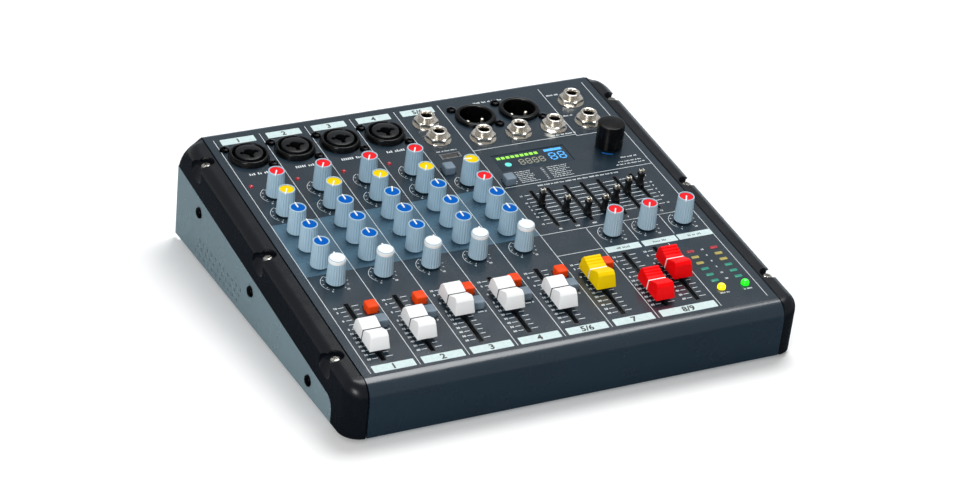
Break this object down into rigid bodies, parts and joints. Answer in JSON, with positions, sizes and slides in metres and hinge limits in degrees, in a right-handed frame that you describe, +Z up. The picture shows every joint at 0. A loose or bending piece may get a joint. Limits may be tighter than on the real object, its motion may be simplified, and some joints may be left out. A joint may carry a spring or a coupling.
{
  "type": "mixing console",
  "caption": "Compact desktop audio mixing console: sloped steel control panel with channel knobs, slide faders, graphic equaliser sliders, XLR and jack sockets, and moulded end cheeks.",
  "frame": {"origin": "centre of the resting base, under the middle of the whole console", "axes": "+X to the right along the width, +Y from the front edge to the rear connector edge, +Z up"},
  "size_m": [0.2906, 0.2788, 0.0817],
  "materials": {
    "painted_steel": "satin dark blue-grey powder coat",
    "black_plastic": "fine-textured black moulding with a soft sheen",
    "foot_rubber": "matt black rubber",
    "screw_steel": "zinc-plated and blackened screws",
    "socket_plastic": "black glass-filled nylon",
    "plated_metal": "nickel-plated brass",
    "display_window": "clear smoked window with coloured lamps",
    "board_laminate": "green glass-epoxy laminate",
    "knob_grey": "ribbed grey plastic with coloured cap",
    "encoder_black": "smooth black plastic",
    "fader_white": "smooth white plastic",
    "fader_yellow": "smooth yellow plastic",
    "fader_red": "smooth red plastic",
    "lever_black": "black plastic with a bright tip",
    "button_caps": "orange-red and grey plastic caps",
    "switch_black": "glossy black plastic"
  },
  "bodies": {
    "root": {"bottom_tray": "painted_steel", "top_panel": "painted_steel", "left_cheek": "black_plastic", "right_cheek": "black_plastic", "rubber_feet": "foot_rubber", "case_screws": "screw_steel", "xlr_sockets": "socket_plastic", "phone_jacks": "plated_metal", "display_and_leds": "display_window", "circuit_boards": "board_laminate"},
    "ch1_gain_knob": {"ch1_gain_knob": "knob_grey"},
    "ch1_comp_knob": {"ch1_comp_knob": "knob_grey"},
    "ch1_high_knob": {"ch1_high_knob": "knob_grey"},
    "ch1_mid_knob": {"ch1_mid_knob": "knob_grey"},
    "ch1_low_knob": {"ch1_low_knob": "knob_grey"},
    "ch1_pan_knob": {"ch1_pan_knob": "knob_grey"},
    "ch2_gain_knob": {"ch2_gain_knob": "knob_grey"},
    "ch2_comp_knob": {"ch2_comp_knob": "knob_grey"},
    "ch2_high_knob": {"ch2_high_knob": "knob_grey"},
    "ch2_mid_knob": {"ch2_mid_knob": "knob_grey"},
    "ch2_low_knob": {"ch2_low_knob": "knob_grey"},
    "ch2_pan_knob": {"ch2_pan_knob": "knob_grey"},
    "ch3_gain_knob": {"ch3_gain_knob": "knob_grey"},
    "ch3_comp_knob": {"ch3_comp_knob": "knob_grey"},
    "ch3_high_knob": {"ch3_high_knob": "knob_grey"},
    "ch3_mid_knob": {"ch3_mid_knob": "knob_grey"},
    "ch3_low_knob": {"ch3_low_knob": "knob_grey"},
    "ch3_pan_knob": {"ch3_pan_knob": "knob_grey"},
    "ch4_gain_knob": {"ch4_gain_knob": "knob_grey"},
    "ch4_comp_knob": {"ch4_comp_knob": "knob_grey"},
    "ch4_high_knob": {"ch4_high_knob": "knob_grey"},
    "ch4_mid_knob": {"ch4_mid_knob": "knob_grey"},
    "ch4_low_knob": {"ch4_low_knob": "knob_grey"},
    "ch4_pan_knob": {"ch4_pan_knob": "knob_grey"},
    "ch5_usb_knob": {"ch5_usb_knob": "knob_grey"},
    "ch5_gain_knob": {"ch5_gain_knob": "knob_grey"},
    "ch5_high_knob": {"ch5_high_knob": "knob_grey"},
    "ch5_low_knob": {"ch5_low_knob": "knob_grey"},
    "ch5_pan_knob": {"ch5_pan_knob": "knob_grey"},
    "effect_level_knob": {"effect_level_knob": "knob_grey"},
    "monitor_level_knob": {"monitor_level_knob": "knob_grey"},
    "phones_level_knob": {"phones_level_knob": "knob_grey"},
    "encoder_knob": {"encoder_knob": "encoder_black"},
    "ch1_fader": {"ch1_fader": "fader_white"},
    "ch2_fader": {"ch2_fader": "fader_white"},
    "ch3_fader": {"ch3_fader": "fader_white"},
    "ch4_fader": {"ch4_fader": "fader_white"},
    "ch5_fader": {"ch5_fader": "fader_white"},
    "effect_fader": {"effect_fader": "fader_yellow"},
    "main_left_fader": {"main_left_fader": "fader_red"},
    "main_right_fader": {"main_right_fader": "fader_red"},
    "eq_slider_1": {"eq_slider_1": "lever_black"},
    "eq_slider_2": {"eq_slider_2": "lever_black"},
    "eq_slider_3": {"eq_slider_3": "lever_black"},
    "eq_slider_4": {"eq_slider_4": "lever_black"},
    "eq_slider_5": {"eq_slider_5": "lever_black"},
    "eq_slider_6": {"eq_slider_6": "lever_black"},
    "eq_slider_7": {"eq_slider_7": "lever_black"},
    "push_buttons": {"push_buttons": "button_caps"},
    "power_rocker": {"power_rocker": "switch_black"}
  },
  "joints": [
    {"name": "ch1_gain_turn", "type": "hinge", "parent": "root", "child": "ch1_gain_knob", "pos_m": [-0.1115, 0.05237, 0.0634], "axis": [0, 0.1357, -0.9907], "range_deg": [0, 300]},
    {"name": "ch1_comp_turn", "type": "hinge", "parent": "root", "child": "ch1_comp_knob", "pos_m": [-0.113, 0.03235, 0.06066], "axis": [0, 0.1357, -0.9907], "range_deg": [0, 300]},
    {"name": "ch1_high_turn", "type": "hinge", "parent": "root", "child": "ch1_high_knob", "pos_m": [-0.1139, 0.01254, 0.05794], "axis": [0, 0.1357, -0.9907], "range_deg": [-150, 150]},
    {"name": "ch1_mid_turn", "type": "hinge", "parent": "root", "child": "ch1_mid_knob", "pos_m": [-0.1139, -0.00539, 0.05549], "axis": [0, 0.1357, -0.9907], "range_deg": [-150, 150]},
    {"name": "ch1_low_turn", "type": "hinge", "parent": "root", "child": "ch1_low_knob", "pos_m": [-0.1139, -0.02333, 0.05303], "axis": [0, 0.1357, -0.9907], "range_deg": [-150, 150]},
    {"name": "ch1_pan_turn", "type": "hinge", "parent": "root", "child": "ch1_pan_knob", "pos_m": [-0.1114, -0.04146, 0.05055], "axis": [0, 0.1357, -0.9907], "range_deg": [-150, 150]},
    {"name": "ch2_gain_turn", "type": "hinge", "parent": "root", "child": "ch2_gain_knob", "pos_m": [-0.0815, 0.05237, 0.0634], "axis": [0, 0.1357, -0.9907], "range_deg": [0, 300]},
    {"name": "ch2_comp_turn", "type": "hinge", "parent": "root", "child": "ch2_comp_knob", "pos_m": [-0.083, 0.03235, 0.06066], "axis": [0, 0.1357, -0.9907], "range_deg": [0, 300]},
    {"name": "ch2_high_turn", "type": "hinge", "parent": "root", "child": "ch2_high_knob", "pos_m": [-0.0839, 0.01254, 0.05794], "axis": [0, 0.1357, -0.9907], "range_deg": [-150, 150]},
    {"name": "ch2_mid_turn", "type": "hinge", "parent": "root", "child": "ch2_mid_knob", "pos_m": [-0.0839, -0.00539, 0.05549], "axis": [0, 0.1357, -0.9907], "range_deg": [-150, 150]},
    {"name": "ch2_low_turn", "type": "hinge", "parent": "root", "child": "ch2_low_knob", "pos_m": [-0.0839, -0.02333, 0.05303], "axis": [0, 0.1357, -0.9907], "range_deg": [-150, 150]},
    {"name": "ch2_pan_turn", "type": "hinge", "parent": "root", "child": "ch2_pan_knob", "pos_m": [-0.0814, -0.04146, 0.05055], "axis": [0, 0.1357, -0.9907], "range_deg": [-150, 150]},
    {"name": "ch3_gain_turn", "type": "hinge", "parent": "root", "child": "ch3_gain_knob", "pos_m": [-0.0515, 0.05237, 0.0634], "axis": [0, 0.1357, -0.9907], "range_deg": [0, 300]},
    {"name": "ch3_comp_turn", "type": "hinge", "parent": "root", "child": "ch3_comp_knob", "pos_m": [-0.053, 0.03235, 0.06066], "axis": [0, 0.1357, -0.9907], "range_deg": [0, 300]},
    {"name": "ch3_high_turn", "type": "hinge", "parent": "root", "child": "ch3_high_knob", "pos_m": [-0.0539, 0.01254, 0.05794], "axis": [0, 0.1357, -0.9907], "range_deg": [-171, 129]},
    {"name": "ch3_mid_turn", "type": "hinge", "parent": "root", "child": "ch3_mid_knob", "pos_m": [-0.0539, -0.00539, 0.05549], "axis": [0, 0.1357, -0.9907], "range_deg": [-150, 150]},
    {"name": "ch3_low_turn", "type": "hinge", "parent": "root", "child": "ch3_low_knob", "pos_m": [-0.0539, -0.02333, 0.05303], "axis": [0, 0.1357, -0.9907], "range_deg": [-150, 150]},
    {"name": "ch3_pan_turn", "type": "hinge", "parent": "root", "child": "ch3_pan_knob", "pos_m": [-0.0514, -0.04146, 0.05055], "axis": [0, 0.1357, -0.9907], "range_deg": [-176, 124]},
    {"name": "ch4_gain_turn", "type": "hinge", "parent": "root", "child": "ch4_gain_knob", "pos_m": [-0.0215, 0.05237, 0.0634], "axis": [0, 0.1357, -0.9907], "range_deg": [0, 300]},
    {"name": "ch4_comp_turn", "type": "hinge", "parent": "root", "child": "ch4_comp_knob", "pos_m": [-0.023, 0.03235, 0.06066], "axis": [0, 0.1357, -0.9907], "range_deg": [0, 300]},
    {"name": "ch4_high_turn", "type": "hinge", "parent": "root", "child": "ch4_high_knob", "pos_m": [-0.0239, 0.01254, 0.05794], "axis": [0, 0.1357, -0.9907], "range_deg": [-150, 150]},
    {"name": "ch4_mid_turn", "type": "hinge", "parent": "root", "child": "ch4_mid_knob", "pos_m": [-0.0239, -0.00539, 0.05549], "axis": [0, 0.1357, -0.9907], "range_deg": [-150, 150]},
    {"name": "ch4_low_turn", "type": "hinge", "parent": "root", "child": "ch4_low_knob", "pos_m": [-0.0239, -0.02333, 0.05303], "axis": [0, 0.1357, -0.9907], "range_deg": [-150, 150]},
    {"name": "ch4_pan_turn", "type": "hinge", "parent": "root", "child": "ch4_pan_knob", "pos_m": [-0.0214, -0.04146, 0.05055], "axis": [0, 0.1357, -0.9907], "range_deg": [-168, 132]},
    {"name": "ch5_usb_turn", "type": "hinge", "parent": "root", "child": "ch5_usb_knob", "pos_m": [0.0068, 0.03196, 0.0606], "axis": [0, 0.1357, -0.9907], "range_deg": [-68, 232]},
    {"name": "ch5_gain_turn", "type": "hinge", "parent": "root", "child": "ch5_gain_knob", "pos_m": [0.0066, 0.01293, 0.058], "axis": [0, 0.1357, -0.9907], "range_deg": [0, 300]},
    {"name": "ch5_high_turn", "type": "hinge", "parent": "root", "child": "ch5_high_knob", "pos_m": [0.0063, -0.0051, 0.05553], "axis": [0, 0.1357, -0.9907], "range_deg": [-150, 150]},
    {"name": "ch5_low_turn", "type": "hinge", "parent": "root", "child": "ch5_low_knob", "pos_m": [0.0063, -0.02333, 0.05303], "axis": [0, 0.1357, -0.9907], "range_deg": [-150, 150]},
    {"name": "ch5_pan_turn", "type": "hinge", "parent": "root", "child": "ch5_pan_knob", "pos_m": [0.0085, -0.04146, 0.05055], "axis": [0, 0.1357, -0.9907], "range_deg": [-150, 150]},
    {"name": "effect_level_turn", "type": "hinge", "parent": "root", "child": "effect_level_knob", "pos_m": [0.067, -0.04215, 0.05045], "axis": [0, 0.1357, -0.9907], "range_deg": [0, 300]},
    {"name": "monitor_level_turn", "type": "hinge", "parent": "root", "child": "monitor_level_knob", "pos_m": [0.09, -0.04215, 0.05045], "axis": [0, 0.1357, -0.9907], "range_deg": [0, 300]},
    {"name": "phones_level_turn", "type": "hinge", "parent": "root", "child": "phones_level_knob", "pos_m": [0.1149, -0.04215, 0.05045], "axis": [0, 0.1357, -0.9907], "range_deg": [0, 300]},
    {"name": "encoder_turn", "type": "hinge", "parent": "root", "child": "encoder_knob", "pos_m": [0.1087, 0.04503, 0.0624], "axis": [0, 0.1357, -0.9907], "continuous": true},
    {"name": "ch1_fader_slide", "type": "slide", "parent": "root", "child": "ch1_fader", "axis": [0, 0.9907, 0.1357], "range_m": [-0.0128, 0.0322]},
    {"name": "ch2_fader_slide", "type": "slide", "parent": "root", "child": "ch2_fader", "axis": [0, 0.9907, 0.1357], "range_m": [-0.0152, 0.0298]},
    {"name": "ch3_fader_slide", "type": "slide", "parent": "root", "child": "ch3_fader", "axis": [0, 0.9907, 0.1357], "range_m": [-0.03, 0.015]},
    {"name": "ch4_fader_slide", "type": "slide", "parent": "root", "child": "ch4_fader", "axis": [0, 0.9907, 0.1357], "range_m": [-0.0264, 0.0186]},
    {"name": "ch5_fader_slide", "type": "slide", "parent": "root", "child": "ch5_fader", "axis": [0, 0.9907, 0.1357], "range_m": [-0.0184, 0.0266]},
    {"name": "effect_fader_slide", "type": "slide", "parent": "root", "child": "effect_fader", "axis": [0, 0.9907, 0.1357], "range_m": [-0.0294, 0.0156]},
    {"name": "main_left_fader_slide", "type": "slide", "parent": "root", "child": "main_left_fader", "axis": [0, 0.9907, 0.1357], "range_m": [-0.0092, 0.0358]},
    {"name": "main_right_fader_slide", "type": "slide", "parent": "root", "child": "main_right_fader", "axis": [0, 0.9907, 0.1357], "range_m": [-0.0257, 0.0193]},
    {"name": "eq_1_slide", "type": "slide", "parent": "root", "child": "eq_slider_1", "axis": [0, 0.9907, 0.1357], "range_m": [-0.0192, 0.0108]},
    {"name": "eq_2_slide", "type": "slide", "parent": "root", "child": "eq_slider_2", "axis": [0, 0.9907, 0.1357], "range_m": [-0.0086, 0.0214]},
    {"name": "eq_3_slide", "type": "slide", "parent": "root", "child": "eq_slider_3", "axis": [0, 0.9907, 0.1357], "range_m": [-0.0024, 0.0276]},
    {"name": "eq_4_slide", "type": "slide", "parent": "root", "child": "eq_slider_4", "axis": [0, 0.9907, 0.1357], "range_m": [-0.0024, 0.0276]},
    {"name": "eq_5_slide", "type": "slide", "parent": "root", "child": "eq_slider_5", "axis": [0, 0.9907, 0.1357], "range_m": [-0.01, 0.02]},
    {"name": "eq_6_slide", "type": "slide", "parent": "root", "child": "eq_slider_6", "axis": [0, 0.9907, 0.1357], "range_m": [-0.0162, 0.0138]},
    {"name": "eq_7_slide", "type": "slide", "parent": "root", "child": "eq_slider_7", "axis": [0, 0.9907, 0.1357], "range_m": [-0.0215, 0.0085]},
    {"name": "push_buttons_press", "type": "slide", "parent": "root", "child": "push_buttons", "axis": [0, 0.1357, -0.9907], "range_m": [0, 0.002], "stiffness_N_per_m": 400, "springref_m": -0.0005},
    {"name": "power_rocker_tip", "type": "hinge", "parent": "root", "child": "power_rocker", "pos_m": [-0.112, 0.13005, 0.0327], "axis": [-1, 0, 0], "range_deg": [0, 20]}
  ]
}
